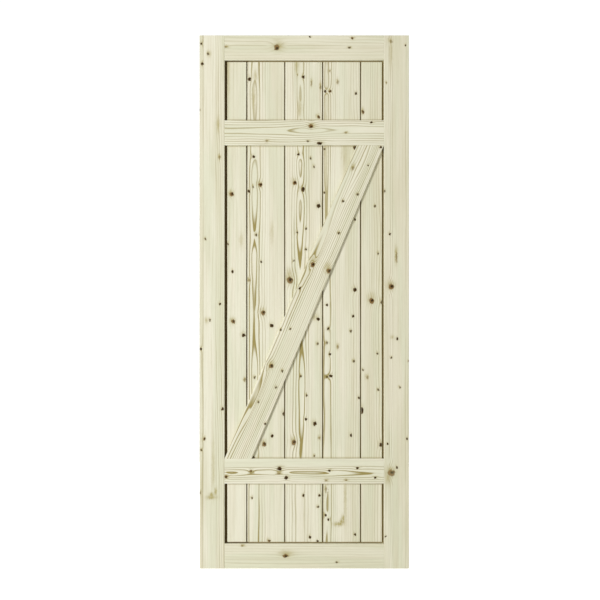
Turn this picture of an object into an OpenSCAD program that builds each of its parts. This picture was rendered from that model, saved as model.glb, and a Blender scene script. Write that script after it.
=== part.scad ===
// Z-braced barn door: a grooved frame of two stiles and two rails, tongue-and-groove planks
// floating in it, and on each face two cross rails and a diagonal brace glued over the planks.
// Origin: middle of the bottom edge. +X to the right, +Y to the back, +Z up; the front faces -Y.

/* [Door] */
// Width of the door
door_w = 838; // [620:1:1200]
// Height of the door
door_h = 2134; // [1700:1:2700]
// Thickness of the door
door_t = 35; // [26:0.5:50]

/* [Frame] */
// Face width of the two stiles
stile_w = 100; // [75:1:150]
// Face width of the top and bottom rails
rail_w = 100; // [80:1:150]
// Depth of the groove along the inner edge of the stiles and rails
groove_d = 12; // [8:0.5:18]
// Bevel that eases the long edges of the frame, the cross rails and the brace
edge_bevel = 1; // [0.4:0.1:2]

/* [Planks] */
// Distance from one plank joint to the next
plank_pitch = 152; // [100:1:200]
// Thickness of the planks
plank_t = 16; // [12:0.5:20]
// Open gap between the faces of two planks
plank_gap = 3; // [1:0.5:6]
// Bevel along both face edges of a plank
plank_bevel = 1.2; // [0.4:0.1:2.5]
// Thickness of every tongue: between planks, into the frame and on the rails' ends
tongue_t = 5; // [3:0.5:6]
// Depth of the groove along a plank's left edge
plank_groove_d = 7; // [4:0.5:10]
// How far the middle of the plank field lies to the right of the door's middle
plank_shift = -2; // [-10:0.5:10]
// Sunk strip between the left stile and the first plank's face
left_reveal = 9.5; // [3:0.5:14]
// Sunk strip between the last plank's face and the right stile
right_reveal = 7; // [3:0.5:14]
// Sunk strip between the planks' faces and the top and bottom rails
end_reveal = 5; // [2:0.5:12]

/* [Cross rails and brace] */
// Height of the plank field above the upper and below the lower cross rail
end_window_h = 240; // [150:1:400]
// Face width of the cross rails
cross_rail_w = 100; // [60:1:150]
// Face width of the diagonal brace
brace_w = 100; // [60:1:150]

/* [Dowels] */
// Diameter of the dowels in the four corner joints
dowel_d = 10; // [6:0.5:14]
// Length of a dowel
dowel_l = 80; // [50:1:110]
// Dowels in each corner joint
dowels_per_joint = 2; // [1:1:3]
// Distance of the outermost dowels from the rail's outer edge and from the planks' groove
dowel_inset = 22; // [12:1:30]
// Bevel on a dowel's ends
dowel_bevel = 1; // [0.5:0.1:2]

/* [Clearances] */
// Slip on each side of a tongue in its groove
tongue_slip = 0.2; // [0.1:0.05:0.4]
// Room left beyond a tongue for the planks to swell
swell_gap = 2; // [1:0.5:4]
// Room left beyond the tip of a plank's tongue in its neighbour's groove
tip_gap = 1; // [0.5:0.5:2]
// Room left beyond a stub tenon in the stile's groove
tenon_gap = 0.5; // [0.2:0.1:2]
// Glue slip around a dowel
dowel_slip = 0.1; // [0.05:0.05:0.3]
// Room for glue beyond each end of a dowel
dowel_end_gap = 1.5; // [0.5:0.5:3]

/* [Hidden] */
$fn = 48;
overcut = 1;

// Frame
opening_w = door_w - 2 * stile_w;
opening_h = door_h - 2 * rail_w;
groove_w = tongue_t + 2 * tongue_slip;
tenon_l = groove_d - tenon_gap;
tenon_w = rail_w - groove_d;

// Planks: whole ones in the middle, and one ripped to at least half a pitch at each side
planks = floor(opening_w / plank_pitch) + 1;
first_joint_x = plank_shift - (planks - 2) * plank_pitch / 2;
face_bottom = rail_w + end_reveal;
face_h = opening_h - 2 * end_reveal;
core_bottom = rail_w - groove_d;
core_h = opening_h + 2 * groove_d - swell_gap;
frame_tongue_l = groove_d - swell_gap;

// Cross rails and brace
overlay_t = (door_t - plank_t) / 2;
lower_cross_z = rail_w + end_window_h;
upper_cross_z = door_h - rail_w - end_window_h - cross_rail_w;
middle_bottom = lower_cross_z + cross_rail_w;
middle_h = upper_cross_z - middle_bottom;
// The brace's edges run into opposite corners of the middle field, so its lean is the angle
// for which opening_w * cos(angle) - middle_h * sin(angle) = brace_w
brace_angle = acos(brace_w / norm([opening_w, middle_h])) - atan2(middle_h, opening_w);
brace_reach = norm([opening_w, middle_h]);

stile_colour = [0.88, 0.85, 0.74];
rail_colour = [0.89, 0.86, 0.76];
plank_colours = [[0.91, 0.89, 0.80], [0.87, 0.84, 0.73]];
overlay_colour = [0.90, 0.87, 0.77];
dowel_colour = [0.80, 0.66, 0.47];

// Where one plank ends and the next begins: joint i lies to the right of plank i
function joint_x(i) = first_joint_x + (i - 1) * plank_pitch;

// Left and right edge of plank i's face
function face_left(i) =
    i == 1 ? -opening_w / 2 + left_reveal : joint_x(i - 1) + plank_gap / 2;
function face_right(i) =
    i == planks ? opening_w / 2 - right_reveal : joint_x(i) - plank_gap / 2;

// Left and right edge of plank i's core, the layer as thick as its tongues
function core_left(i) =
    i == 1 ? -opening_w / 2 - frame_tongue_l : face_left(i) + plank_groove_d;
function core_right(i) =
    i == planks ? opening_w / 2 + frame_tongue_l
                : joint_x(i) + plank_gap / 2 + plank_groove_d - tip_gap;

// Height of dowel k above the outer edge of its rail, the dowels evenly spread
function dowel_height(k) =
    dowels_per_joint == 1 ? tenon_w / 2
                          : dowel_inset + k * (tenon_w - 2 * dowel_inset) / (dowels_per_joint - 1);

// Cross-section of a board, centred, with all four corners bevelled
module board_section(w, t, bevel) {
    x = w / 2;
    y = t / 2;
    polygon([
        [bevel - x, -y], [x - bevel, -y], [x, bevel - y], [x, y - bevel],
        [x - bevel, y], [bevel - x, y], [-x, y - bevel], [-x, bevel - y]
    ]);
}

// Cross-section of a cross rail or brace: back on y = 0, the two outer corners bevelled
module overlay_section(w) {
    x = w / 2;
    polygon([
        [-x, 0], [-x, edge_bevel - overlay_t], [edge_bevel - x, -overlay_t],
        [x - edge_bevel, -overlay_t], [x, edge_bevel - overlay_t], [x, 0]
    ]);
}

// Frame board along +Z with the groove for the planks in its +X edge
module grooved_board(w, length) {
    linear_extrude(length)
        difference() {
            board_section(w, door_t, edge_bevel);
            translate([w / 2 - groove_d, -groove_w / 2])
                square([groove_d + overcut, groove_w]);
        }
}

// One round peg along X through the shoulder line of a corner joint, at the origin
module peg(d, length, bevel) {
    r = d / 2;
    rotate([0, 90, 0])
        rotate_extrude()
            polygon([
                [0, -length / 2], [r - bevel, -length / 2], [r, bevel - length / 2],
                [r, length / 2 - bevel], [r - bevel, length / 2], [0, length / 2]
            ]);
}

// The dowels of the corner joint at the bottom of the stile on the given side (-1 or 1)
module joint_dowels(side) {
    for (k = [0 : dowels_per_joint - 1])
        translate([side * opening_w / 2, 0, dowel_height(k)])
            peg(dowel_d, dowel_l, dowel_bevel);
}

// The holes for the same dowels
module joint_dowel_holes(side) {
    hole_l = dowel_l + 2 * dowel_end_gap;
    for (k = [0 : dowels_per_joint - 1])
        translate([side * opening_w / 2 - hole_l / 2, 0, dowel_height(k)])
            rotate([0, 90, 0])
                cylinder(h = hole_l, d = dowel_d + 2 * dowel_slip);
}

// Turns a bottom corner or rail into the one at the top
module at_top() {
    translate([0, 0, door_h])
        mirror([0, 0, 1])
            children();
}

// Full-height upright at the left, grooved along its inner edge
module left_stile() {
    color(stile_colour)
        difference() {
            translate([-(door_w - stile_w) / 2, 0, 0])
                grooved_board(stile_w, door_h);
            joint_dowel_holes(-1);
            at_top()
                joint_dowel_holes(-1);
        }
}

module right_stile() {
    mirror([1, 0, 0])
        left_stile();
}

// Rail between the stiles, its groove facing up and a stub tenon on each end
module bottom_rail() {
    color(rail_colour)
        difference() {
            union() {
                translate([-opening_w / 2, 0, rail_w / 2])
                    mirror([0, 0, 1])
                        rotate([0, 90, 0])
                            grooved_board(rail_w, opening_w);
                translate([-opening_w / 2 - tenon_l, -tongue_t / 2, 0])
                    cube([opening_w + 2 * tenon_l, tongue_t, tenon_w]);
            }
            joint_dowel_holes(-1);
            joint_dowel_holes(1);
        }
}

module top_rail() {
    at_top()
        bottom_rail();
}

// Plank i, counted from the left: a full-thickness board with a groove in its left edge, on a
// core that reaches into the next plank's groove and into the frame's grooves
module plank(i) {
    color(plank_colours[i % 2]) {
        difference() {
            translate([(face_left(i) + face_right(i)) / 2, 0, face_bottom])
                linear_extrude(face_h)
                    board_section(face_right(i) - face_left(i), plank_t, plank_bevel);
            if (i > 1)
                translate([face_left(i) - overcut, -groove_w / 2, face_bottom - overcut])
                    cube([plank_groove_d + overcut, groove_w, face_h + 2 * overcut]);
        }
        translate([core_left(i), -tongue_t / 2, core_bottom])
            cube([core_right(i) - core_left(i), tongue_t, core_h]);
    }
}

// Board laid over the planks from stile to stile, its lower edge at height z
module front_cross_rail(z) {
    color(overlay_colour)
        translate([-opening_w / 2, -plank_t / 2, z + cross_rail_w / 2])
            rotate([0, 90, 0])
                linear_extrude(opening_w)
                    overlay_section(cross_rail_w);
}

// Board laid over the planks from the lower left to the upper right corner of the middle
// field, both ends cut level against the cross rails
module front_brace() {
    color(overlay_colour)
        intersection() {
            translate([0, -plank_t / 2, middle_bottom + middle_h / 2])
                rotate([0, brace_angle, 0])
                    translate([0, 0, -brace_reach])
                        linear_extrude(2 * brace_reach)
                            overlay_section(brace_w);
            translate([-door_w / 2, -door_t, middle_bottom])
                cube([door_w, door_t, middle_h]);
        }
}

// The same piece on the other face
module at_back() {
    mirror([0, 1, 0])
        children();
}

module dowels(side) {
    color(dowel_colour)
        joint_dowels(side);
}

left_stile();
right_stile();
top_rail();
bottom_rail();
for (i = [1 : planks])
    plank(i);
front_cross_rail(upper_cross_z);  // front_upper_cross_rail
front_cross_rail(lower_cross_z);  // front_lower_cross_rail
front_brace();
at_back() front_cross_rail(upper_cross_z);  // back_upper_cross_rail
at_back() front_cross_rail(lower_cross_z);  // back_lower_cross_rail
at_back() front_brace();  // back_brace
at_top() dowels(-1);  // top_left_dowels
at_top() dowels(1);  // top_right_dowels
dowels(-1);  // bottom_left_dowels
dowels(1);  // bottom_right_dowels
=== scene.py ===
import math
import bpy
import bmesh
import numpy as np
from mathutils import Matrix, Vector


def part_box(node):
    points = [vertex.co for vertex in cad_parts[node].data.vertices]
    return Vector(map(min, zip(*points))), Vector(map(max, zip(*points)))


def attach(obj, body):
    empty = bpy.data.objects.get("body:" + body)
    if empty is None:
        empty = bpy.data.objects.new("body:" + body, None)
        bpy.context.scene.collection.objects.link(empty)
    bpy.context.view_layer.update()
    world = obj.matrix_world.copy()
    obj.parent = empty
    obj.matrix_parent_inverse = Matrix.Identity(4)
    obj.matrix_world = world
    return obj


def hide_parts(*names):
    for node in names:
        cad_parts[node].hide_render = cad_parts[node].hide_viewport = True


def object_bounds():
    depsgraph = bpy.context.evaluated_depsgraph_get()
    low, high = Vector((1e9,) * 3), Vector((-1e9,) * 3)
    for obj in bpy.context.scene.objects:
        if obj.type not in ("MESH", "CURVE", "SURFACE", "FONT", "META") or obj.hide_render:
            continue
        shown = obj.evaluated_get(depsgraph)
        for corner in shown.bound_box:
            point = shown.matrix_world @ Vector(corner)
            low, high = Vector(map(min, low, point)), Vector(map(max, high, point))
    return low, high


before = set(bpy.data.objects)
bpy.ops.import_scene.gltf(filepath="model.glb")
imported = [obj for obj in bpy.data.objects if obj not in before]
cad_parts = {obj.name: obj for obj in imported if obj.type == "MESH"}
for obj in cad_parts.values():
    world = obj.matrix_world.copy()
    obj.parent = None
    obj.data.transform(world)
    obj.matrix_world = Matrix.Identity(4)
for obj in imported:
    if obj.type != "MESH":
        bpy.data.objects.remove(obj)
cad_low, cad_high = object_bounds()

# ---------------------------------------------------------------- viewpoint
# A long-ish lens stands four metres in front of the door and looks straight at it, level,
# a little below the door's half height, so the uprights stay parallel.
scene = bpy.context.scene
door_front = cad_low.y
lens = bpy.data.cameras.new("studio_lens")
lens.lens = 60.0
lens.sensor_width = 36.0
viewpoint = bpy.data.objects.new("viewpoint", lens)
viewpoint.location = (-0.017, door_front - 4.0, 1.075)
viewpoint.rotation_euler = (math.radians(90.0), 0.0, 0.0)
scene.collection.objects.link(viewpoint)
scene.camera = viewpoint
scene.view_settings.view_transform = "Standard"

# ---------------------------------------------------------------- studio
# A white floor and white surroundings; one large soft lamp far to the left at half the door's
# height, so every raised board throws a soft shadow to its right, a weak lamp on the right, and a
# lamp behind for the door's back.
surroundings = bpy.data.worlds.new("white_studio")
surroundings.use_nodes = True
sky = surroundings.node_tree
sky.nodes.clear()
seen_white = sky.nodes.new("ShaderNodeBackground")
seen_white.inputs["Color"].default_value = (1.0, 1.0, 1.0, 1.0)
seen_white.inputs["Strength"].default_value = 1.05
soft_fill = sky.nodes.new("ShaderNodeBackground")
soft_fill.inputs["Color"].default_value = (1.0, 0.955, 0.85, 1.0)
soft_fill.inputs["Strength"].default_value = 0.40
which_ray = sky.nodes.new("ShaderNodeLightPath")
either = sky.nodes.new("ShaderNodeMixShader")
sky_out = sky.nodes.new("ShaderNodeOutputWorld")
sky.links.new(which_ray.outputs["Is Camera Ray"], either.inputs[0])
sky.links.new(soft_fill.outputs[0], either.inputs[1])
sky.links.new(seen_white.outputs[0], either.inputs[2])
sky.links.new(either.outputs[0], sky_out.inputs["Surface"])
scene.world = surroundings


def soft_lamp(name, place, aim, width, height, watts, colour):
    """A rectangular lamp of width by height metres whose face looks from place towards aim."""
    lamp = bpy.data.lights.new(name, "AREA")
    lamp.shape = "RECTANGLE"
    lamp.size = width
    lamp.size_y = height
    lamp.energy = watts
    lamp.color = colour
    holder = bpy.data.objects.new(name, lamp)
    sight = Vector(aim) - Vector(place)
    holder.location = place
    holder.rotation_euler = sight.to_track_quat("-Z", "Y").to_euler()
    scene.collection.objects.link(holder)


door_middle = (0.0, 0.0, 1.05)
soft_lamp("left_lamp", place=(-5.6, -5.1, 1.35), aim=door_middle,
          width=1.8, height=2.6, watts=462.0, colour=(0.99, 1.0, 1.045))
soft_lamp("back_lamp", place=(4.8, 5.4, 1.5), aim=door_middle,
          width=2.0, height=2.6, watts=330.0, colour=(0.99, 1.0, 1.03))
soft_lamp("right_lamp", place=(3.0, -3.6, 1.6), aim=door_middle,
          width=2.4, height=2.4, watts=24.0, colour=(1.0, 1.0, 1.0))

floor_half = 2.6
floor_drop = 0.0002
floor_grid = np.array([(-1, -1), (1, -1), (1, 1), (-1, 1)], float) * floor_half
floor_mesh = bpy.data.meshes.new("studio_floor")
floor_mesh.from_pydata([(x, y, -floor_drop) for x, y in floor_grid], [], [(0, 1, 2, 3)])
floor = bpy.data.objects.new("studio_floor", floor_mesh)
scene.collection.objects.link(floor)
floor_paint = bpy.data.materials.new("white_floor_paint")
floor_paint.use_nodes = True
paint = floor_paint.node_tree.nodes["Principled BSDF"]
paint.inputs["Base Color"].default_value = (0.62, 0.62, 0.615, 1.0)
paint.inputs["Roughness"].default_value = 0.9
paint.inputs["Emission Color"].default_value = (1.0, 1.0, 1.0, 1.0)
seen_floor = floor_paint.node_tree.nodes.new("ShaderNodeLightPath")
floor_paint.node_tree.links.new(seen_floor.outputs["Is Camera Ray"], paint.inputs["Emission Strength"])
floor_mesh.materials.append(floor_paint)


# ---------------------------------------------------------------- stiles
# The two uprights of the frame: knotty pine, edge-glued from three or four staves, planed, with a
# groove ploughed down the inner edge for the panel. They run the full height of the door.
corner_points = 5
uneven_share = 0.35
# How much an end's rounded rim is lightened: partly rubbed wear, partly a painted highlight.
rim_wear_and_highlight = 0.8


def board_surface(corners, easing, worn_and_lit, stations, seed):
    """Points of a board: a cornered outline carried along a straight line.

    At each corner the outline follows a quarter circle: corner - r(1 - sin a) * arriving direction
    + r(1 - cos a) * leaving direction, for a from 0 to 90 degrees. The radius r is the corner's easing
    times 1 + uneven_share * the mean of three sines of the distance along, with their own beats and
    phases, as hand-eased edges vary. Each station gives the distance along, how far the outline is
    pulled inwards there, and the depth and width it may keep. Returns points (stations, outline, 3)
    as across, depth, along in millimetres, and how much each point is lightened, 0 to 1, partly as
    rubbed wear and partly as a painted highlight: the corner's listed share times sin 2a, and the
    rim's share or more on an end's rounded rim.
    times sin 2a, and rim_wear_and_highlight or more on an end's rounded rim."""
    corner = np.array(corners, float)
    leaving = np.roll(corner, -1, 0) - corner
    leaving /= np.linalg.norm(leaving, axis=1, keepdims=True)
    arriving = np.roll(leaving, 1, 0)
    inward = np.stack([-leaving[:, 1], leaving[:, 0]], 1)
    pulled = inward + np.roll(inward, 1, 0)
    along, pull, depth, low, high = np.array(stations, float).T
    dice = np.random.default_rng(seed)
    phase = dice.uniform(0.0, 6.28, (3, 1, len(corner)))
    beat = np.array([0.0071, 0.0193, 0.041])[:, None, None]
    sway = np.sin(along[None, :, None] * beat + phase).sum(0) / 3.0
    radius = np.array(easing, float) * (1.0 + uneven_share * sway)
    swing = np.linspace(0.0, math.pi / 2.0, corner_points)
    back = (1.0 - np.sin(swing))[None, None, :, None]
    forth = (1.0 - np.cos(swing))[None, None, :, None]
    place = corner[None] + pull[:, None, None] * pulled[None]
    r = radius[:, :, None, None]
    ring = place[:, :, None] - r * back * arriving[None, :, None] + r * forth * leaving[None, :, None]
    ring = ring.reshape(len(along), -1, 2)
    across = np.clip(ring[..., 0], low[:, None], high[:, None])
    thick = np.clip(ring[..., 1], -depth[:, None], depth[:, None])
    run = np.broadcast_to(along[:, None], across.shape)
    wear_and_highlight = np.sin(2.0 * swing)[None, None, :] * np.array(worn_and_lit, float)[None, :, None]
    wear_and_highlight = np.broadcast_to(wear_and_highlight, (len(along), len(corner), corner_points)).reshape(len(along), -1)
    on_rim = (pull > 0.05) & (pull < 0.6)
    wear_and_highlight = np.maximum(wear_and_highlight, np.where(on_rim, rim_wear_and_highlight, 0.0)[:, None])
    return np.stack([across, thick, run], -1), wear_and_highlight


def board_object(name, points, wear_and_highlight, middle, turn, slope=0.0):
    """Makes the board's mesh from its grid of points, closed by one flat face at each end.

    A point's along distance grows by slope times its across distance, which cuts the ends at a slant.
    Then the point goes to x = middle + across cos turn + along sin turn,
    z = middle + along cos turn - across sin turn."""
    stations, outline = points.shape[:2]
    across, depth, along = points[..., 0], points[..., 1], points[..., 2] + slope * points[..., 0]
    c, s = math.cos(turn), math.sin(turn)
    x = middle[0] + (across * c + along * s) / 1000.0
    z = middle[2] + (along * c - across * s) / 1000.0
    y = middle[1] + depth / 1000.0
    mesh = bpy.data.meshes.new(name)
    column = np.arange(outline)
    following = np.roll(column, -1)
    row = (np.arange(stations - 1) * outline)[:, None]
    next_row = row + outline
    quads = np.stack([row + column, row + following, next_row + following, next_row + column], -1)
    faces = quads.reshape(-1, 4).tolist()
    faces.append(column[::-1].tolist())
    faces.append((column + (stations - 1) * outline).tolist())
    mesh.from_pydata(np.stack([x, y, z], -1).reshape(-1, 3), [], faces)
    # The lightening of eased edges, stored on the points: partly rubbed wear, partly a painted highlight.
    worn_edge_and_highlight = mesh.attributes.new("worn_edge_and_highlight", "FLOAT", "POINT")
    worn_edge_and_highlight.data.foreach_set("value", wear_and_highlight.ravel())
    between_corners = column % corner_points == corner_points - 1
    flat = np.tile(between_corners, stations - 1)
    mesh.polygons.foreach_set("use_smooth", np.append(~flat, [False, False]))
    tidy = bmesh.new()
    tidy.from_mesh(mesh)
    bmesh.ops.remove_doubles(tidy, verts=tidy.verts, dist=2e-6)
    bmesh.ops.dissolve_degenerate(tidy, edges=tidy.edges, dist=1e-7)
    bmesh.ops.recalc_face_normals(tidy, faces=tidy.faces)
    tidy.to_mesh(mesh)
    tidy.free()
    board = bpy.data.objects.new(name, mesh)
    scene.collection.objects.link(board)
    return board


def even_stations(start, stop, step, eased):
    """Stations from start to stop about a step apart. The end's rim is rounded over like the long
    edges: at eased (1 - cos a) from the end the outline is drawn in by eased (1 - sin a)."""
    swing = np.array([0.0, 0.25, 0.6, 1.0]) * math.pi / 2.0
    rim = eased * (1.0 - np.cos(swing))
    drawn = eased * (1.0 - np.sin(swing))
    count = max(2, int(round((stop - start) / step)))
    middle = np.linspace(start + eased, stop - eased, count + 1)[1:-1]
    along = np.concatenate([start + rim, middle, (stop - rim)[::-1]])
    pull = np.concatenate([drawn, np.zeros(len(middle)), drawn[::-1]])
    unlimited = (1e4, -1e4, 1e4)
    return [(place, drawn_in, *unlimited) for place, drawn_in in zip(along, pull)]


def plug(tree, slot, source):
    """Sets a node's slot to a fixed value, or joins it to another node's output."""
    if isinstance(source, bpy.types.NodeSocket):
        tree.links.new(source, slot)
    elif source is not None:
        slot.default_value = source


def node(tree, kind, *sources, **settings):
    """Adds a node of that kind and fills its slots in order."""
    made = tree.nodes.new("ShaderNode" + kind)
    for key, value in settings.items():
        setattr(made, key, value)
    for slot, source in zip(made.inputs, sources):
        plug(tree, slot, source)
    return made


def sums(tree, operation, *sources):
    """One arithmetic step on numbers; returns its result."""
    return node(tree, "Math", *sources, operation=operation).outputs[0]


def vectors(tree, operation, *sources):
    """One arithmetic step on vectors; returns its result."""
    return node(tree, "VectorMath", *sources, operation=operation).outputs[0]


def ease(tree, value, low, high, to_low=0.0, to_high=1.0):
    """Smooth step of value from low to high."""
    made = node(tree, "MapRange", value, low, high, to_low, to_high, interpolation_type="SMOOTHSTEP")
    return made.outputs[0]


def tint(tree, share, first, second):
    """Colour between first and second by share."""
    made = node(tree, "Mix", data_type="RGBA")
    plug(tree, made.inputs[0], share)
    plug(tree, made.inputs[6], first)
    plug(tree, made.inputs[7], second)
    return made.outputs[2]


def figure_noise(tree, place, across, depth, along, shift, detail=2.0):
    """Smooth noise with lumps of across x depth x along millimetres; shift picks a piece of it."""
    spread = vectors(tree, "MULTIPLY", place, (1.0 / across, 1.0 / depth, 1.0 / along))
    moved = vectors(tree, "ADD", spread, shift)
    return node(tree, "TexNoise", moved, None, 1.0, detail, 0.5)


def wood_group(name, inputs, outputs):
    """An empty group of shading steps with numbers (f), vectors (v) and colours (c) as its inputs
    and outputs. Returns the group, what it is given and the slots for its results."""
    kinds = {"f": "NodeSocketFloat", "v": "NodeSocketVector", "c": "NodeSocketColor"}
    tree = bpy.data.node_groups.new(name, "ShaderNodeTree")
    for kind, label in inputs:
        tree.interface.new_socket(label, in_out="INPUT", socket_type=kinds[kind])
    for kind, label in outputs:
        tree.interface.new_socket(label, in_out="OUTPUT", socket_type=kinds[kind])
    return tree, tree.nodes.new("NodeGroupInput").outputs, tree.nodes.new("NodeGroupOutput").inputs


# Growth rings: the distance in millimetres from the log's centre line, which wanders slowly.
# Centre = how far across and how deep the log's centre lies, and how much it leans per metre;
# Near = exp(-(distance across / Band)^2), how close to the log's centre a point lies.
slow_wander = (22.0, 20.0, 0.0)
short_wander = (6.0, 1.5, 0.0)
ring_inputs = [("v", "Place"), ("v", "Centre"), ("f", "Band"), ("f", "Seed")]
rings, given, result = wood_group("growth_rings", ring_inputs, [("f", "Rings"), ("f", "Near")])
seed_shift = vectors(rings, "SCALE", (3.1, 7.7, 5.3), None, None, given["Seed"])
slow = figure_noise(rings, given["Place"], 140.0, 140.0, 620.0, seed_shift)
quick_shift = vectors(rings, "SCALE", (9.4, 2.3, 6.1), None, None, given["Seed"])
short = figure_noise(rings, given["Place"], 24.0, 40.0, 150.0, quick_shift)
slow_sway = vectors(rings, "SUBTRACT", slow.outputs["Color"], (0.5, 0.5, 0.5))
short_sway = vectors(rings, "SUBTRACT", short.outputs["Color"], (0.5, 0.5, 0.5))
swayed = vectors(rings, "MULTIPLY_ADD", slow_sway, slow_wander, given["Place"])
swayed = vectors(rings, "MULTIPLY_ADD", short_sway, short_wander, swayed)
at = node(rings, "SeparateXYZ", swayed).outputs
centre = node(rings, "SeparateXYZ", given["Centre"]).outputs
metres_up = sums(rings, "MULTIPLY", at[2], 0.001)
leaned = sums(rings, "MULTIPLY_ADD", metres_up, centre[2], centre[0])
from_centre_x = sums(rings, "SUBTRACT", at[0], leaned)
from_centre_y = sums(rings, "SUBTRACT", at[1], centre[1])
squares = sums(rings, "MULTIPLY", from_centre_y, from_centre_y)
squares = sums(rings, "MULTIPLY_ADD", from_centre_x, from_centre_x, squares)
plug(rings, result["Rings"], sums(rings, "SQRT", squares))
off_centre = sums(rings, "DIVIDE", from_centre_x, given["Band"])
off_square = sums(rings, "MULTIPLY", sums(rings, "MULTIPLY", off_centre, off_centre), -1.0)
plug(rings, result["Near"], sums(rings, "EXPONENT", off_square))

# A swell: Rise times exp(-(side^2 + up^2)) is added to the rings over a long lens of wood, where side
# is the distance across over the half width and up the distance along over the reach above or
# below. It draws nested pointed arches or an eye.
swell_inputs = [("v", "Place"), ("f", "Rings"), ("f", "Across"), ("f", "Along"), ("f", "Half width"),
                ("f", "Above"), ("f", "Below"), ("f", "Rise")]
swell_group, given, result = wood_group("swell", swell_inputs, [("f", "Rings")])
at = node(swell_group, "SeparateXYZ", given["Place"]).outputs
side = sums(swell_group, "DIVIDE", sums(swell_group, "SUBTRACT", at[0], given["Across"]), given["Half width"])
up = sums(swell_group, "SUBTRACT", at[2], given["Along"])
is_above = sums(swell_group, "GREATER_THAN", up, 0.0)
reach_gap = sums(swell_group, "SUBTRACT", given["Above"], given["Below"])
reach = sums(swell_group, "MULTIPLY_ADD", is_above, reach_gap, given["Below"])
up = sums(swell_group, "DIVIDE", up, reach)
lens_square = sums(swell_group, "MULTIPLY_ADD", side, side, sums(swell_group, "MULTIPLY", up, up))
lump = sums(swell_group, "EXPONENT", sums(swell_group, "MULTIPLY", lens_square, -1.0))
plug(swell_group, result["Rings"], sums(swell_group, "MULTIPLY_ADD", lump, given["Rise"], given["Rings"]))

# A knot: a branch that runs through the board's thickness at a slight slant. It bends the rings
# round itself, and marks where its core, its lighter brown rim and the stained wood round it lie.
# The core is a little egg-shaped, its dark heart off centre, and the stain reaches up and sideways.
knot_inputs = [("v", "Place"), ("f", "Rings"), ("f", "Core"), ("f", "Heart"), ("f", "Stain"), ("f", "Across"),
               ("f", "Along"), ("f", "Radius"), ("f", "Stretch"), ("f", "Slant"), ("f", "Dark"),
               ("f", "Warm"), ("f", "Spread"), ("f", "Bend")]
knot_outputs = [("f", "Rings"), ("f", "Core"), ("f", "Heart"), ("f", "Stain")]
knot_group, given, result = wood_group("knot", knot_inputs, knot_outputs)
at = node(knot_group, "SeparateXYZ", given["Place"]).outputs
side = sums(knot_group, "SUBTRACT", at[0], given["Across"])
side = sums(knot_group, "SUBTRACT", side, sums(knot_group, "MULTIPLY", at[1], given["Slant"]))
side = sums(knot_group, "DIVIDE", side, given["Radius"])
up = sums(knot_group, "SUBTRACT", at[2], given["Along"])
up = sums(knot_group, "DIVIDE", up, sums(knot_group, "MULTIPLY", given["Radius"], given["Stretch"]))
square = sums(knot_group, "MULTIPLY_ADD", side, side, sums(knot_group, "MULTIPLY", up, up))
away = sums(knot_group, "SQRT", square)
lopsided = sums(knot_group, "SUBTRACT", up, side)
core = ease(knot_group, sums(knot_group, "MULTIPLY_ADD", lopsided, 0.15, away), 1.22, 0.88)
off_heart = sums(knot_group, "SUBTRACT", side, 0.36)
heart_square = sums(knot_group, "MULTIPLY_ADD", off_heart, off_heart, sums(knot_group, "MULTIPLY", up, up))
heart = ease(knot_group, sums(knot_group, "SQRT", heart_square), 0.25, 0.85)
stained_square = sums(knot_group, "MULTIPLY_ADD", up, sums(knot_group, "MULTIPLY", up, -0.3), square)
stained_square = sums(knot_group, "MULTIPLY_ADD", lopsided, -0.45, stained_square)
stain = sums(knot_group, "EXPONENT", sums(knot_group, "MULTIPLY", stained_square, -0.48))
stain = sums(knot_group, "MINIMUM", stain, 1.0)
round_about = sums(knot_group, "EXPONENT", sums(knot_group, "MULTIPLY", square, -0.16))
bent = sums(knot_group, "MULTIPLY", round_about, given["Bend"])
plug(knot_group, result["Rings"], sums(knot_group, "ADD", given["Rings"], bent))
darkened = sums(knot_group, "MULTIPLY", core, given["Dark"])
plug(knot_group, result["Core"], sums(knot_group, "MAXIMUM", given["Core"], darkened))
rim = sums(knot_group, "MULTIPLY", sums(knot_group, "MULTIPLY", heart, core), given["Warm"])
plug(knot_group, result["Heart"], sums(knot_group, "MAXIMUM", given["Heart"], rim))
stain = sums(knot_group, "MULTIPLY", stain, given["Spread"])
plug(knot_group, result["Stain"], sums(knot_group, "MAXIMUM", given["Stain"], stain))

# Pine's colours from rings, knots, wear and painted light. Stave = (ring spacing mm, strength of the late
# wood's lines, how khaki the stave is). Recess runs from 0 on the open face over 0.6, the olive of a glue
# line or the painted shade of an inner corner, to 1, the painted deep shade in a joint. The painted
# shadow beside the cross rails reaches 0.3. Eased edges are lightened, partly as rubbed wear and partly
# as a painted highlight.
pale_wood = (0.82, 0.80, 0.645, 1.0)
khaki_wood = (0.63, 0.605, 0.41, 1.0)
warm_drift = (0.78, 0.72, 0.57, 1.0)
green_drift = (0.70, 0.715, 0.53, 1.0)
brown_streak = (0.44, 0.40, 0.20, 1.0)
late_wood_brown = (0.34, 0.28, 0.10, 1.0)
fibre_brown = (0.42, 0.37, 0.2, 1.0)
olive_stain = (0.42, 0.36, 0.14, 1.0)
knot_black = (0.028, 0.015, 0.004, 1.0)
knot_brown = (0.25, 0.155, 0.055, 1.0)
# Lighter colour of eased edges: partly rubbed wear, partly a painted highlight.
rubbed_edge_and_highlight = (0.88, 0.86, 0.70, 1.0)
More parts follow.
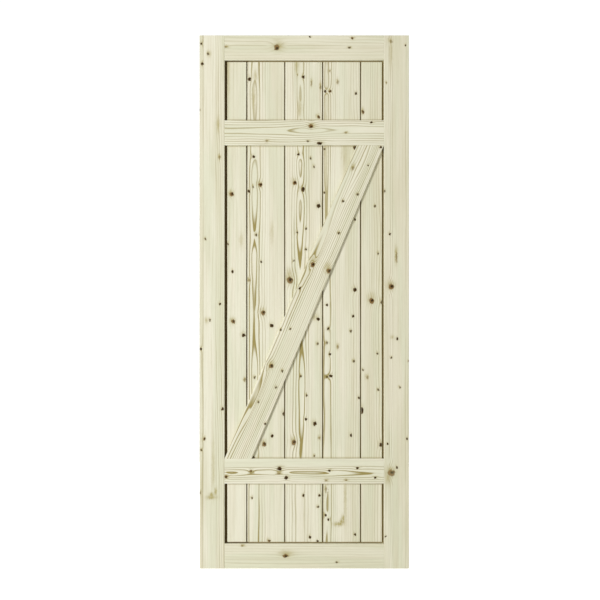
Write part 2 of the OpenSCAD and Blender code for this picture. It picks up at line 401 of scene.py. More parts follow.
# Olive of the glue lines, also laid on as painted shade in the joints and beside the cross rails; then the
# painted deep shade of a joint.
glue_olive_and_shade = (0.31, 0.25, 0.115, 1.0)
deep_joint_shade = (0.13, 0.09, 0.034, 1.0)
pine_inputs = [("v", "Place"), ("f", "Rings"), ("f", "Core"), ("f", "Heart"), ("f", "Stain"), ("f", "Near"),
               ("v", "Stave"), ("f", "Seed"), ("f", "Worn and lit"), ("f", "Recess")]
pine_outputs = [("c", "Colour"), ("f", "Roughness"), ("f", "Height")]
pine, given, result = wood_group("knotty_pine", pine_inputs, pine_outputs)
stave = node(pine, "SeparateXYZ", given["Stave"]).outputs
turns = sums(pine, "DIVIDE", given["Rings"], stave[0])
year = sums(pine, "FLOOR", turns)
season = sums(pine, "FRACT", turns)
late_wood = sums(pine, "SUBTRACT", ease(pine, season, 0.50, 0.88), ease(pine, season, 0.90, 1.0))
year_seed = sums(pine, "ADD", year, given["Seed"])
luck = node(pine, "TexWhiteNoise", None, year_seed, noise_dimensions="1D").outputs["Value"]
good_year = sums(pine, "MULTIPLY_ADD", sums(pine, "MULTIPLY", luck, luck), 0.75, 0.55)
shift = vectors(pine, "SCALE", (4.7, 1.9, 8.3), None, None, given["Seed"])
fade = figure_noise(pine, given["Place"], 60.0, 60.0, 420.0, shift, 1.0).outputs["Fac"]
fade = ease(pine, fade, 0.36, 0.54, 0.55, 1.15)
fade = sums(pine, "MULTIPLY", fade, sums(pine, "MULTIPLY_ADD", given["Near"], 0.88, 0.12))
line = sums(pine, "MULTIPLY", late_wood, good_year)
line = sums(pine, "MULTIPLY", line, sums(pine, "MULTIPLY", fade, stave[1]))
shift = vectors(pine, "SCALE", (2.9, 6.3, 1.7), None, None, given["Seed"])
drift = figure_noise(pine, given["Place"], 45.0, 45.0, 520.0, shift, 2.0)
drift_rgb = node(pine, "SeparateColor", drift.outputs["Color"]).outputs
khaki_share = sums(pine, "MULTIPLY_ADD", ease(pine, drift_rgb[0], 0.42, 0.66), 0.35, stave[2])
clear = tint(pine, khaki_share, pale_wood, khaki_wood)
clear = tint(pine, ease(pine, drift_rgb[1], 0.45, 0.62, 0.0, 0.28), clear, warm_drift)
clear = tint(pine, ease(pine, drift_rgb[2], 0.44, 0.62, 0.0, 0.5), clear, green_drift)
shift = vectors(pine, "SCALE", (8.9, 5.1, 3.3), None, None, given["Seed"])
fibre = figure_noise(pine, given["Place"], 1.6, 1.6, 46.0, shift, 3.0).outputs["Fac"]
streak = figure_noise(pine, given["Place"], 4.5, 4.5, 260.0, shift, 2.0).outputs["Fac"]
streaked = tint(pine, ease(pine, streak, 0.5, 0.75, 0.0, 0.2), clear, brown_streak)
figured = tint(pine, line, streaked, late_wood_brown)
figured = tint(pine, ease(pine, fibre, 0.5, 0.75, 0.0, 0.12), figured, fibre_brown)
streaky_stain = sums(pine, "MULTIPLY", given["Stain"], ease(pine, fibre, 0.30, 0.62, 0.5, 1.2))
stained = tint(pine, streaky_stain, figured, olive_stain)
knot_wood = tint(pine, given["Heart"], knot_black, knot_brown)
knotted = tint(pine, given["Core"], stained, knot_wood)
# Eased edges lightened: partly rubbed wear, partly a painted highlight.
worn_and_lit = tint(pine, sums(pine, "MULTIPLY", given["Worn and lit"], 0.4), knotted, rubbed_edge_and_highlight)
# Glue lines take the olive; painted shade darkens a plank's sunk edges and the wood beside the cross rails,
# deepest in the joints.
glue_and_shade_tinted = tint(pine, ease(pine, given["Recess"], 0.0, 0.6), worn_and_lit, glue_olive_and_shade)
glue_and_shade_tinted = tint(pine, ease(pine, given["Recess"], 0.6, 1.0), glue_and_shade_tinted, deep_joint_shade)
plug(pine, result["Colour"], glue_and_shade_tinted)
rough = sums(pine, "MULTIPLY_ADD", line, -0.08, 0.66)
rough = sums(pine, "MULTIPLY_ADD", fibre, 0.10, rough)
plug(pine, result["Roughness"], sums(pine, "MULTIPLY_ADD", given["Core"], -0.2, rough))
ridge = sums(pine, "MULTIPLY_ADD", line, 0.5, sums(pine, "MULTIPLY", fibre, 0.6))
plug(pine, result["Height"], sums(pine, "MULTIPLY_ADD", given["Core"], -0.4, ridge))

# The sorts of knot and mark in this timber: darkness, warmth of the rim, stain round it, bend of the
# rings for a knot of 8 mm radius. Streaks, olive marks and sap stains have no core.
knot_sorts = {
    "black": (1.0, 0.30, 0.50, 6.0),
    "brown": (0.95, 0.95, 0.85, 9.0),
    "red": (1.0, 1.00, 0.75, 9.0),
    "rust": (0.85, 1.00, 0.80, 9.0),
    "pale": (0.45, 1.00, 0.85, 6.0),
    "streak": (0.0, 0.0, 0.45, 0.0),
    "olive": (0.0, 0.0, 0.60, 0.0),
    "sap": (0.0, 0.0, 0.95, 0.0),
    "pin": (0.85, 0.35, 0.80, 5.0),
}

# Where the timber is darkened: along the glue lines, a real mark; on a plank's edges from just under
# its face down, painted shade in the joints; and on the planks beside the cross rails, a painted
# shadow. All lengths are in millimetres.
glue_half_width = 1.8
glue_darkness = 0.16
painted_shade_starts_at = 7.97
painted_shade_full_at = 6.7
cross_rail_middles = (390.0, 1744.0)
painted_shadow_line = 53.0
painted_shadow_sharpness = 0.28
painted_shadow_darkness = 0.3
millimetre = 0.001


def pine_finish(name, middle, turn, staves, swells, knots, seed, recess=0.0):
    """Planed pine for one board, patterned in the board's own millimetres: across to the right of
    its length, depth, and along. staves: (starts at, centre across, centre depth, lean, ring spacing,
    line strength, khaki, band). swells: (across, along, half width, above, below, rise).
    knots: (across, along, radius, stretch, sort). recess: how dark the painted shade on a plank's
    sunk edges is. A plank also has a painted shadow of darkness exp(-(sharpness * d)^2), d being the
    distance from the shadow line above and below each cross rail's middle."""
    made = bpy.data.materials.new(name)
    made.use_nodes = True
    tree = made.node_tree
    shader = tree.nodes["Principled BSDF"]
    place = node(tree, "TexCoord").outputs["Object"]
    turned, scaled = (0.0, turn, 0.0), (millimetre, millimetre, millimetre)
    place = node(tree, "Mapping", place, middle, turned, scaled, vector_type="TEXTURE").outputs[0]
    at = node(tree, "SeparateXYZ", place).outputs
    centre = node(tree, "CombineXYZ", *staves[0][1:4]).outputs[0]
    habit = node(tree, "CombineXYZ", *staves[0][4:7]).outputs[0]
    band = staves[0][7]
    glue_line = 0.0
    for starts, *rest in staves[1:]:
        past = sums(tree, "GREATER_THAN", at[0], starts)
        beside = sums(tree, "ABSOLUTE", sums(tree, "SUBTRACT", at[0], starts))
        beside = ease(tree, beside, glue_half_width, 0.2, 0.0, glue_darkness)
        glue_line = sums(tree, "MAXIMUM", glue_line, beside)
        pair = []
        for old, new in ((centre, rest[0:3]), (habit, rest[3:6])):
            pick = node(tree, "Mix", data_type="VECTOR")
            plug(tree, pick.inputs[0], past)
            plug(tree, pick.inputs[4], old)
            plug(tree, pick.inputs[5], tuple(new))
            pair.append(pick.outputs[1])
        centre, habit = pair
        band = node(tree, "Mix", past, None, band, rest[6]).outputs[0]
    grain = node(tree, "Group", place, centre, band, float(seed), node_tree=rings)
    field = grain.outputs["Rings"]
    wobble = figure_noise(tree, place, 7.0, 30.0, 9.0, (seed * 1.7, 0.0, seed * 2.9), 2.0).outputs["Color"]
    wobble = vectors(tree, "SUBTRACT", wobble, (0.5, 0.5, 0.5))
    uneven = vectors(tree, "MULTIPLY_ADD", wobble, (9.0, 0.0, 11.0), place)
    for swell in swells:
        field = node(tree, "Group", place, field, *swell, node_tree=swell_group).outputs["Rings"]
    marks = [field, 0.0, 0.0, 0.0]
    for number, (across, along, radius, stretch, sort) in enumerate(knots):
        slant = 0.25 if number % 2 else -0.2
        dark, warm, spread, bend = knot_sorts[sort]
        ring_bend = bend * radius / 8.0
        branch = (across, along, radius, stretch, slant, dark, warm, spread, ring_bend)
        marks = node(tree, "Group", uneven, *marks, *branch, node_tree=knot_group).outputs
    # How much each point of an eased edge is lightened: partly rubbed wear, partly a painted highlight.
    worn_and_lit = node(tree, "Attribute", attribute_name="worn_edge_and_highlight").outputs["Fac"]
    sunk = glue_line
    # Painted shade: the planks' sunk edges grow dark in the joints, and a painted shadow lies beside each
    # cross rail.
    if recess:
        depth = sums(tree, "ABSOLUTE", at[1])
        sunk = sums(tree, "MAXIMUM", sunk, ease(tree, depth, painted_shade_starts_at, painted_shade_full_at, 0.0, recess))
        # A painted shadow: a soft dark band on the plank just above and just below each cross rail.
        for rail_middle in cross_rail_middles:
            away = sums(tree, "ABSOLUTE", sums(tree, "SUBTRACT", at[2], rail_middle))
            away = sums(tree, "SUBTRACT", away, painted_shadow_line)
            away = sums(tree, "MULTIPLY", away, painted_shadow_sharpness)
            painted_rail_shadow = sums(tree, "MULTIPLY", sums(tree, "MULTIPLY", away, away), -1.0)
            painted_rail_shadow = sums(tree, "MULTIPLY", sums(tree, "EXPONENT", painted_rail_shadow), painted_shadow_darkness)
            sunk = sums(tree, "MAXIMUM", sunk, painted_rail_shadow)
    wood = node(tree, "Group", place, *marks, grain.outputs["Near"], habit, float(seed), worn_and_lit, sunk,
                node_tree=pine)
    bump = node(tree, "Bump")
    bump.inputs["Strength"].default_value = 0.5
    bump.inputs["Distance"].default_value = 0.0002
    tree.links.new(wood.outputs["Height"], bump.inputs["Height"])
    tree.links.new(wood.outputs["Colour"], shader.inputs["Base Color"])
    tree.links.new(wood.outputs["Roughness"], shader.inputs["Roughness"])
    tree.links.new(bump.outputs["Normal"], shader.inputs["Normal"])
    shader.inputs["Specular IOR Level"].default_value = 0.12
    return made


stile_easing = 1.6
groove_easing = 0.3
groove_depth = 12.0
groove_width = 5.4
stile_knots = {
    "left_stile": [
        (-46, 2100, 4, 1.2, "black"), (-12, 2060, 3.5, 1.5, "pin"), (-42, 2020, 5, 1.0, "black"),
        (-46, 1835, 3.5, 1.0, "pin"), (22, 1770, 5, 3.5, "olive"), (34, 1645, 4, 1.6, "pale"),
        (-30, 1320, 3.5, 1.2, "pin"), (36, 1060, 4, 1.2, "black"), (-12, 995, 3.5, 1.5, "pin"),
        (-40, 880, 4, 1.2, "black"), (38, 640, 5, 1.2, "black"), (-26, 520, 4, 1.4, "brown"),
        (-46, 475, 3.5, 1.0, "pin"), (10, 380, 5, 14.0, "streak"), (-2, 284, 14, 0.35, "sap"),
        (6, 293, 8, 0.8, "sap"), (11, 306, 4, 2.2, "sap"), (-46, 305, 4, 1.2, "black"),
        (-14, 2058, 6, 1.2, "olive"), (-16, 992, 6, 1.2, "olive"),
    ],
    "right_stile": [
        (-26, 2110, 6, 1.1, "pale"), (40, 2095, 3, 1.2, "black"), (-44, 1945, 3, 1.2, "pale"),
        (-44, 1510, 3.5, 1.2, "pin"), (-30, 1340, 4, 1.2, "black"), (4, 1250, 4, 5.0, "pale"),
        (-26, 1130, 10, 1.1, "red"), (6, 920, 4, 1.2, "black"), (46, 830, 3, 1.3, "brown"),
        (-16, 845, 3.5, 1.0, "pin"), (10, 725, 3.5, 1.2, "pin"), (46, 520, 4, 1.3, "black"),
        (-40, 500, 3, 1.2, "black"), (6, 405, 4, 1.2, "black"), (-26, 385, 13, 0.9, "rust"),
        (-40, 130, 3, 1.2, "black"), (-24, 2050, 5, 9.0, "streak"),
        (-12, 1133, 9, 0.9, "olive"), (-20, 925, 5, 1.0, "olive"), (-26, 360, 10, 1.6, "olive"),
    ],
}
stile_staves = {
    "left_stile": [(-60, -52, 4, 2, 9.0, 1.0, 0.42, 300), (-34, 220, 40, 6, 13.0, 0.12, 0.0, 300),
                   (14, -90, 30, -8, 8.0, 0.55, 0.18, 300)],
    "right_stile": [(-60, 160, 60, -4, 11.0, 0.30, 0.20, 300), (-30, -140, 50, 8, 7.0, 0.75, 0.10, 300),
                    (-14, 260, 80, 6, 14.0, 0.20, 0.28, 300), (34, -120, 60, 5, 9.0, 0.55, 0.35, 300)],
}


def grooved_outline(w, t, side):
    """Outline 2w wide and 2t thick with the groove in its edge on the far side from side, the
    easing of its corners and which of them are worn and lightened by a painted highlight."""
    g = groove_width / 2.0
    deep = w - groove_depth
    outline = [(-w, -t), (w, -t), (w, -g), (deep, -g), (deep, g), (w, g), (w, t), (-w, t)]
    easing = [stile_easing] * 2 + [groove_easing] * 4 + [stile_easing] * 2
    worn_and_lit = [1, 1, 0, 0, 0, 0, 1, 1]
    if side > 0:
        return [(-across, depth) for across, depth in outline[::-1]], easing[::-1], worn_and_lit[::-1]
    return outline, easing, worn_and_lit


for name, side in (("left_stile", -1), ("right_stile", 1)):
    low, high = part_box(name)
    width, thick, height = np.array(high - low) * 1000.0
    outline, easing, worn_and_lit = grooved_outline(width / 2.0, thick / 2.0, side)
    stations = even_stations(0.0, height, 55.0, stile_easing)
    points, wear_and_highlight = board_surface(outline, easing, worn_and_lit, stations, 11 + side)
    middle = ((low.x + high.x) / 2.0, 0.0, low.z)
    stile = board_object("pine_" + name, points, wear_and_highlight, middle, 0.0)
    finish = pine_finish(name + "_pine", middle, 0.0, stile_staves[name], [], stile_knots[name], 3 + side)
    stile.data.materials.append(finish)
    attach(stile, "root")
    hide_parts(name)

# ---------------------------------------------------------------- rails
# The top and bottom members of the frame, the same pine as the stiles. Each has a groove along its
# inner edge and a stub tenon on each end that fills the stile's groove; dowels pin the corners.
tenon_half_thick = 2.5
rail_knots = {
    "top_rail": [
        (-6, -108, 11, 0.9, "brown"), (-40, 22, 3, 1.2, "black"), (-42, 192, 4, 1.2, "brown"),
        (4, 180, 3.5, 1.4, "pin"), (-8, -314, 4, 1.6, "pale"), (1, -108, 14, 0.9, "olive"),
    ],
    "bottom_rail": [
        (-6, -74, 6, 1.7, "brown"), (-38, -248, 4, 1.3, "pale"), (20, 130, 3.5, 1.3, "pin"),
        (-5, -76, 9, 2.0, "olive"),
    ],
}
rail_staves = {
    "top_rail": [(-60, 60, 90, 10, 9.0, 0.75, 0.18, 90), (-8, -150, 50, -6, 12.0, 0.25, 0.22, 300)],
    "bottom_rail": [(-60, 130, 60, 5, 10.0, 0.40, 0.24, 300), (10, -120, 60, -4, 12.0, 0.25, 0.2, 300)],
}
shoulder_easing = 0.5
along_x = math.radians(90.0)
for name, inner_side in (("top_rail", 1), ("bottom_rail", -1)):
    low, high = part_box(name)
    reach = (high.x - low.x) * 500.0
    w, t = (high.z - low.z) * 500.0, (high.y - low.y) * 500.0
    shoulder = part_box("right_stile")[0].x * 1000.0
    outline, easing, worn_and_lit = grooved_outline(w, t, -inner_side)
    tenon_edges = sorted([-inner_side * w, inner_side * (w - groove_depth)])
    tenon = (0.0, tenon_half_thick, *tenon_edges)
    body = even_stations(-shoulder, shoulder, 55.0, shoulder_easing)
    stations = [(-reach, *tenon), (-shoulder, *tenon), *body, (shoulder, *tenon), (reach, *tenon)]
    points, wear_and_highlight = board_surface(outline, easing, worn_and_lit, stations, 21 + inner_side)
    middle = (0.0, 0.0, (low.z + high.z) / 2.0)
    rail = board_object("pine_" + name, points, wear_and_highlight, middle, along_x)
    seed = 7 + inner_side
    finish = pine_finish(name + "_pine", middle, along_x, rail_staves[name], [], rail_knots[name], seed)
    rail.data.materials.append(finish)
    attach(rail, "root")
    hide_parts(name)

# ---------------------------------------------------------------- planks
# Five tongued and grooved pine boards, the outer two ripped narrower. They stand loose in the
# frame's grooves with an open joint between neighbours, and some are glued from two staves.
plank_faces = [(-309.5, -231.5), (-228.5, -79.5), (-76.5, 72.5), (75.5, 224.5), (227.5, 312.0)]
face_foot, face_head = 105.0, 2029.0
plank_half_thick = 8.0
plank_easing = 2.6
plank_end_easing = 0.8
lip_easing = 0.2
plank_groove_depth = 7.0
# How dark the painted shade in each plank's sunk edges is; the first plank, in the left stile's shadow, gets
# the darkest.
plank_recess = [0.97, 0.72, 0.72, 0.72, 0.72]
plank_staves = [
    [(-60, -80, 60, 4, 9.0, 0.30, 0.0, 60)],
    [(-90, -47, 13, 2, 10.0, 1.5, -0.25, 30), (14, 240, 60, 3, 15.0, 0.12, 0.14, 300)],
    [(-90, -13, 13, 1, 10.0, 1.45, -0.25, 32), (30, 95, 30, 0, 8.0, 0.7, 0.0, 34)],
    [(-90, -61, 9, 1, 8.0, 1.1, -0.12, 26), (12, 120, 40, 0, 8.0, 0.75, 0.22, 70)],
    [(-60, 60, 26, 3, 8.0, 0.75, 0.2, 60)],
]
plank_swells = [
    [],
    [(-47, 1900, 18, 74, 130, -10.0), (-47, 1560, 18, 75, 183, -10.0), (-46, 1250, 16, 40, 160, -9.0),
     (-44, 780, 18, 97, 150, -10.0)],
    [(-24, 2040, 18, 60, 90, -10.0), (-16, 1890, 18, 80, 45, -10.0), (-13, 1770, 18, 60, 90, -10.0),
     (-13, 1620, 17, 30, 88, -10.0), (-13, 1440, 18, 60, 139, -10.0), (-3, 760, 18, 114, 230, -10.0)],
    [(-61, 1640, 14, 280, 180, -7.0)],
    [(60, 1560, 16, 120, 200, 12.0)],
]
plank_knots = [
    [(-38, 1965, 6, 13.0, "olive"), (-41, 1640, 4, 20.0, "olive"), (-23, 1500, 8, 1.0, "red"),
     (-35, 1300, 4, 1.2, "pin"), (-19, 1190, 4, 1.3, "black"),
     (-13, 990, 7, 1.1, "brown"), (25, 935, 7, 1.0, "black"), (-42, 725, 5, 1.3, "brown"),
     (30, 755, 4, 1.5, "pale"), (21, 1310, 6, 2.5, "streak")],
    [(-42, 1968, 6, 2.5, "olive"), (-46, 1868, 5, 7.0, "olive"), (-68, 1962, 6, 1.2, "black"),
     (-48, 1650, 5, 1.1, "black"), (-25, 1538, 7, 1.1, "red"),
     (-49, 1530, 3.5, 1.5, "pin"), (-70, 1512, 5, 1.1, "black"), (-37, 1336, 4, 1.2, "pin"),
     (-21, 1228, 4, 1.2, "black"), (-66, 1155, 5, 1.2, "pale"), (-13, 1025, 8, 1.1, "brown"),
     (25, 973, 7, 1.0, "black"), (24, 1335, 5, 5.0, "streak"), (-43, 765, 3.5, 1.3, "pin"),
     (-9, 498, 8, 1.1, "brown"), (27, 530, 5, 1.2, "black"), (71, 620, 6, 1.5, "black"),
     # The black knot at (-50, 442), in the corner right of the brace's lower end, is painted shade: a dark
     # spot where the brace's shadow meets the lower cross rail.
     (-53, 282, 3.5, 1.2, "pin"), (11, 110, 5, 1.1, "brown"), (-50, 442, 7, 1.0, "black")],
    [(-28, 2010, 6, 3.0, "olive"), (-14, 1838, 6, 4.0, "olive"), (-4, 1970, 5, 1.2, "black"),
     (-23, 1978, 3, 1.0, "pale"), (57, 1810, 5, 1.2, "brown"),
     (33, 1945, 3, 3.0, "pale"), (65, 1930, 3, 3.0, "pale"), (-20, 1660, 5, 1.1, "black"),
     (-39, 1546, 7, 1.2, "red"), (-2, 1520, 7, 1.2, "black"), (26, 1643, 3.5, 1.2, "pin"),
     (43, 1610, 3.5, 1.2, "pin"), (56, 1453, 7, 1.1, "black"), (11, 1362, 3.5, 1.2, "pin"),
     (-29, 1346, 3.5, 1.2, "pin"), (11, 1278, 3.5, 1.4, "pin"), (-41, 1234, 3, 1.2, "black"),
     (-55, 1156, 11, 1.1, "brown"), (55, 1000, 6, 1.1, "black"), (57, 900, 4, 1.2, "pin"),
     (-15, 770, 4, 1.2, "pin"), (13, 693, 3.5, 1.3, "pin"), (7, 598, 4, 1.2, "black"),
     (45, 580, 7, 1.1, "black"), (61, 522, 4, 1.3, "pale"), (-39, 506, 8, 1.3, "brown"),
     (41, 450, 3.5, 1.2, "pin"), (1, 292, 4, 1.2, "black"), (61, 292, 4, 1.2, "black"),
     (59, 246, 3.5, 1.2, "pin"), (23, 125, 5, 1.1, "black"), (57, 108, 4, 1.2, "black"),
     (-59, 1172, 8, 1.8, "olive"), (48, 1004, 8, 1.0, "olive")],
    [(-68, 1912, 4, 1.2, "black"), (-46, 1913, 6, 0.8, "red"), (-50, 1993, 3, 1.2, "pale"),
     (-14, 1950, 4, 1.8, "pale"), (55, 1904, 4, 1.2, "black"), (-68, 1680, 3.5, 1.2, "pin"),
     (-71, 1506, 3.5, 1.2, "pin"), (55, 1398, 4, 1.3, "black"), (51, 1117, 7, 1.1, "black"),
     (47, 1010, 4, 1.2, "black"), (35, 950, 4, 1.2, "pin"), (-13, 887, 4, 1.8, "pale"),
     (-61, 1055, 4, 1.2, "black"), (-53, 960, 4, 1.2, "black"), (-61, 903, 3.5, 1.2, "pin"),
     (-45, 858, 4, 1.2, "black"), (47, 830, 4, 1.2, "pin"), (-43, 771, 6, 1.0, "black"),
     (-61, 767, 4, 1.0, "pin"), (71, 683, 4, 1.3, "black"), (35, 534, 4, 1.4, "black"),
     (-61, 314, 3, 4.0, "pale"), (-66, 212, 4, 1.2, "black"), (-52, 196, 4, 1.2, "black"),
     (14, 262, 3.5, 15.0, "olive"), (-6, 175, 14, 0.35, "sap"), (3, 184, 8, 0.8, "sap"),
     (9, 196, 4, 2.2, "sap"), (12, 1650, 10, 5.0, "streak"), (55, 135, 4, 1.2, "black"),
     (52, 1687, 8, 1.0, "black"), (-60, 1640, 5, 26.0, "olive")],
    [(-37, 1830, 5, 1.6, "brown"), (15, 1452, 3.5, 1.3, "pin"), (25, 1262, 3.5, 1.3, "pin"),
     (1, 1073, 9, 1.1, "red"), (40, 1067, 6, 1.2, "black"), (25, 861, 3.5, 1.2, "pin"),
     (-19, 765, 5, 1.2, "pale"), (-40, 634, 8, 1.6, "black"), (25, 715, 3.5, 1.3, "pin"),
     (40, 496, 7, 1.2, "black"), (-36, 795, 3.5, 1.2, "pin"), (4, 1080, 12, 1.0, "olive")],
]
for number, (face_left, face_right) in enumerate(plank_faces):
    name = "plank_" + str(number + 1)
    low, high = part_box(name)
    mid_x = (face_left + face_right) / 2.0
    a, b = face_left - mid_x, face_right - mid_x
    t, q, g = plank_half_thick, tenon_half_thick, groove_width / 2.0
    core_left, core_right = low.x * 1000.0 - mid_x, high.x * 1000.0 - mid_x
    if number == 0:
        left_edge = [(a, t), (a, q), (core_left, q), (core_left, -q), (a, -q), (a, -t)]
    else:
        core_left = a + plank_groove_depth
        left_edge = [(a, t), (a, g), (core_left, g), (core_left, -g), (a, -g), (a, -t)]
    right_edge = [(b, -t), (b, -q), (core_right, -q), (core_right, q), (b, q), (b, t)]
    outline = left_edge + right_edge
    easing = [plank_easing, lip_easing, groove_easing, groove_easing, lip_easing, plank_easing] * 2
    worn_and_lit = [1, 0, 0, 0, 0, 1] * 2
    foot, head = low.z * 1000.0, high.z * 1000.0
    core = (0.0, tenon_half_thick, core_left, core_right)
    body = even_stations(face_foot, face_head, 60.0, plank_end_easing)
    stations = [(foot, *core), (face_foot, *core), *body, (face_head, *core), (head, *core)]
    points, wear_and_highlight = board_surface(outline, easing, worn_and_lit, stations, 40 + number)
    middle = (mid_x / 1000.0, 0.0, 0.0)
    plank = board_object("pine_" + name, points, wear_and_highlight, middle, 0.0)
    finish = pine_finish(name + "_pine", middle, 0.0, plank_staves[number], plank_swells[number],
                         plank_knots[number], 12 + number, plank_recess[number])
    plank.data.materials.append(finish)
    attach(plank, "root")
    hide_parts(name)

# ---------------------------------------------------------------- cross rails
# Thinner boards laid flat across the planks from stile to stile, two on each face, glued and
# pinned from behind so no fixing shows. Their grain runs level.
cross_easing = 1.6
glued_easing = 0.15
cross_staves = {
    "front_upper_cross_rail": [(-60, -9, 13, 0, 8.0, 1.15, -0.25, 60)],
    "front_lower_cross_rail": [(-60, -60, 60, 0, 10.0, 0.10, -0.3, 300), (-20, 6, 9, 0, 8.0, 1.7, -0.35, 28)],
    "back_upper_cross_rail": [(-60, 10, -30, 2, 8.0, 0.80, 0.12, 60)],
    "back_lower_cross_rail": [(-60, -140, -60, 4, 8.0, 0.60, 0.16, 300)],
}
cross_swells = {
    "front_upper_cross_rail": [(-9, 27, 16, 67, 67, -8.0)],
    "front_lower_cross_rail": [(6, 20, 17, 158, 174, -12.0), (8, -300, 15, 60, 60, -8.0)],
    "back_upper_cross_rail": [(-14, -90, 14, 120, 90, 16.0)],
    "back_lower_cross_rail": [(10, 120, 16, 100, 140, 18.0)],
}
cross_knots = {
    "front_upper_cross_rail": [
        (-29, 28, 8, 1.1, "red"), (42, 62, 6, 1.6, "black"), (31, -150, 4, 1.2, "pale"),
        (35, 14, 3.5, 1.3, "pin"), (-1, 166, 4, 1.2, "pale"), (-41, 270, 4, 1.2, "black"),
    ],
    "front_lower_cross_rail": [
        (-12, -98, 7, 1.3, "black"), (26, -71, 7, 1.0, "black"), (8, -101, 5, 1.3, "pale"),
        (0, -213, 4, 1.4, "brown"), (20, -312, 5, 1.2, "brown"), (-2, 101, 4, 1.4, "black"),
        (-14, 213, 4, 1.4, "black"), (26, 285, 4, 1.2, "black"), (36, 87, 4, 1.2, "pale"),
        (36, 167, 4, 1.2, "pale"),
    ],
    "back_upper_cross_rail": [
        (20, -180, 7, 1.2, "brown"), (-30, 90, 5, 1.2, "black"), (10, 240, 4, 1.2, "pin"),
    ],
    "back_lower_cross_rail": [
        (-24, -40, 8, 1.1, "red"), (28, 190, 5, 1.2, "black"), (0, -260, 4, 1.2, "pin"),
    ],
}


def flat_outline(w, t, front):
    """Outline 2w wide and 2t thick, eased, worn and given a painted highlight only on the two corners
    of the face that shows, with the easing of its corners and which of them are worn and lit."""
    outline = [(-w, -t), (w, -t), (w, t), (-w, t)]
    easing = [cross_easing, cross_easing, glued_easing, glued_easing]
    worn_and_lit = [1, 1, 0, 0]
    if front:
        return outline, easing, worn_and_lit
    return outline, easing[::-1], worn_and_lit[::-1]


for number, name in enumerate(cross_staves):
    low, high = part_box(name)
    w, t = (high.z - low.z) * 500.0, (high.y - low.y) * 500.0
    outline, easing, worn_and_lit = flat_outline(w, t, front=low.y + high.y < 0.0)
    half_length = (high.x - low.x) * 500.0
    stations = even_stations(-half_length, half_length, 55.0, shoulder_easing)
    points, wear_and_highlight = board_surface(outline, easing, worn_and_lit, stations, 60 + number)
    middle = (0.0, (low.y + high.y) / 2.0, (low.z + high.z) / 2.0)
    cross_rail = board_object("pine_" + name, points, wear_and_highlight, middle, along_x)
    finish = pine_finish(name + "_pine", middle, along_x, cross_staves[name], cross_swells[name],
                         cross_knots[name], 20 + number)
    cross_rail.data.materials.append(finish)
    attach(cross_rail, "root")
    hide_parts(name)

# ---------------------------------------------------------------- braces
# One straight-grained board on each face leans across the tall middle field, from its lower left
# to its upper right corner, with both ends sawn level against the cross rails.
brace_width = 100.0
brace_end_easing = 0.4
brace_staves = {
    "front_brace": [(-60, -66, 28, 10, 7.0, 1.2, -0.04, 150)],
    "back_brace": [(-60, 300, 60, 0, 10.0, 0.60, 0.14, 900)],
}
brace_swells = {
    "front_brace": [(-22, 215, 12, 160, 100, -16.0), (-26, -400, 12, 90, 160, -12.0),
                    (6, 610, 14, 90, 130, -8.0)],
    "back_brace": [],
}
brace_knots = {
    "front_brace": [
        (-31, 570, 5, 1.6, "pale"), (24, 604, 3, 1.2, "black"), (28, 480, 4, 1.2, "pin"),
        (-13, 432, 4, 1.2, "pin"), (18, 308, 4, 1.2, "pin"), (-27, 152, 8, 1.2, "red"),
        (40, 154, 9, 1.0, "brown"), (-37, 44, 4, 1.2, "black"), (-45, -138, 3.5, 1.2, "pin"),
        (-9, -121, 3.5, 1.2, "pin"), (-24, -286, 8, 1.1, "brown"), (27, -288, 4, 1.2, "pin"),
        (27, -358, 3.5, 1.2, "pin"), (-13, -440, 3.5, 1.2, "pin"), (45, -509, 4, 1.2, "black"),
        (42, 690, 6, 0.8, "black"), (31, 162, 9, 1.2, "olive"), (-28, 160, 9, 1.5, "olive"),
    ],
    "back_brace": [
        (-20, 380, 7, 1.2, "brown"), (30, 60, 5, 1.2, "black"), (-10, -300, 8, 1.1, "red"),
        (24, -520, 4, 1.2, "pin"),
    ],
}
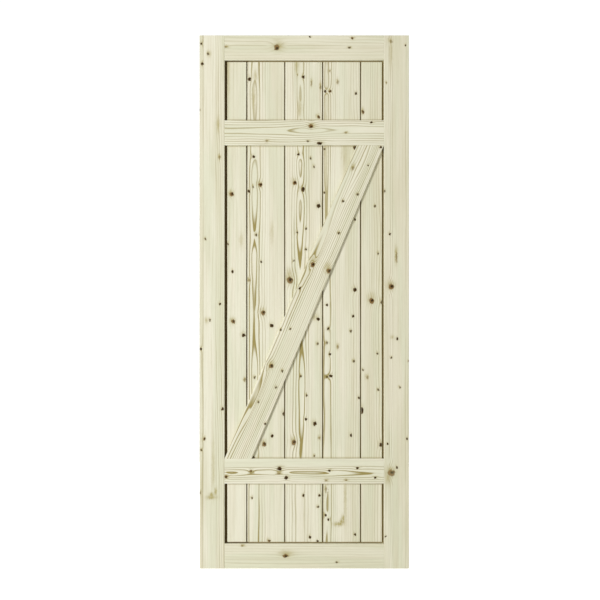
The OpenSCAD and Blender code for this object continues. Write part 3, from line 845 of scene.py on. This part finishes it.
for number, name in enumerate(brace_staves):
    low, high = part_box(name)
    field_wide, field_tall = (high.x - low.x) * 1000.0, (high.z - low.z) * 1000.0
    t = (high.y - low.y) * 500.0
    w = brace_width / 2.0
    diagonal = math.hypot(field_wide, field_tall)
    lean = math.acos(brace_width / diagonal) - math.atan2(field_tall, field_wide)
    half_length = field_tall / 2.0 / math.cos(lean)
    outline, easing, worn_and_lit = flat_outline(w, t, front=low.y + high.y < 0.0)
    stations = even_stations(-half_length, half_length, 60.0, brace_end_easing)
    points, wear_and_highlight = board_surface(outline, easing, worn_and_lit, stations, 80 + number)
    middle = (0.0, (low.y + high.y) / 2.0, (low.z + high.z) / 2.0)
    brace = board_object("pine_" + name, points, wear_and_highlight, middle, lean, math.tan(lean))
    finish = pine_finish(name + "_pine", middle, lean, brace_staves[name], brace_swells[name],
                         brace_knots[name], 30 + number)
    brace.data.materials.append(finish)
    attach(brace, "root")
    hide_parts(name)

# ---------------------------------------------------------------- dowels
# Two round beech pegs glued through each corner joint, hidden in the wood. They keep their
# constructed shape and get beech's short brown flecks along their length.
beech = bpy.data.materials.new("beech_peg")
beech.use_nodes = True
tree = beech.node_tree
shader = tree.nodes["Principled BSDF"]
place = vectors(tree, "MULTIPLY", node(tree, "TexCoord").outputs["Object"], (1000.0, 1000.0, 1000.0))
fleck = figure_noise(tree, place, 9.0, 0.8, 0.8, (0.0, 0.0, 0.0), 2.0).outputs["Fac"]
tone = figure_noise(tree, place, 60.0, 3.0, 3.0, (4.0, 0.0, 0.0), 2.0).outputs["Fac"]
peg_wood = tint(tree, ease(tree, tone, 0.35, 0.65), (0.60, 0.41, 0.22, 1.0), (0.50, 0.32, 0.16, 1.0))
peg_wood = tint(tree, ease(tree, fleck, 0.6, 0.72), peg_wood, (0.30, 0.17, 0.08, 1.0))
tree.links.new(peg_wood, shader.inputs["Base Color"])
tree.links.new(ease(tree, fleck, 0.3, 0.7, 0.55, 0.7), shader.inputs["Roughness"])
peg_bump = node(tree, "Bump")
peg_bump.inputs["Strength"].default_value = 0.3
peg_bump.inputs["Distance"].default_value = 0.0001
tree.links.new(fleck, peg_bump.inputs["Height"])
tree.links.new(peg_bump.outputs["Normal"], shader.inputs["Normal"])
for corner in ("top_left", "top_right", "bottom_left", "bottom_right"):
    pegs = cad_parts[corner + "_dowels"]
    pegs.data.materials.clear()
    pegs.data.materials.append(beech)
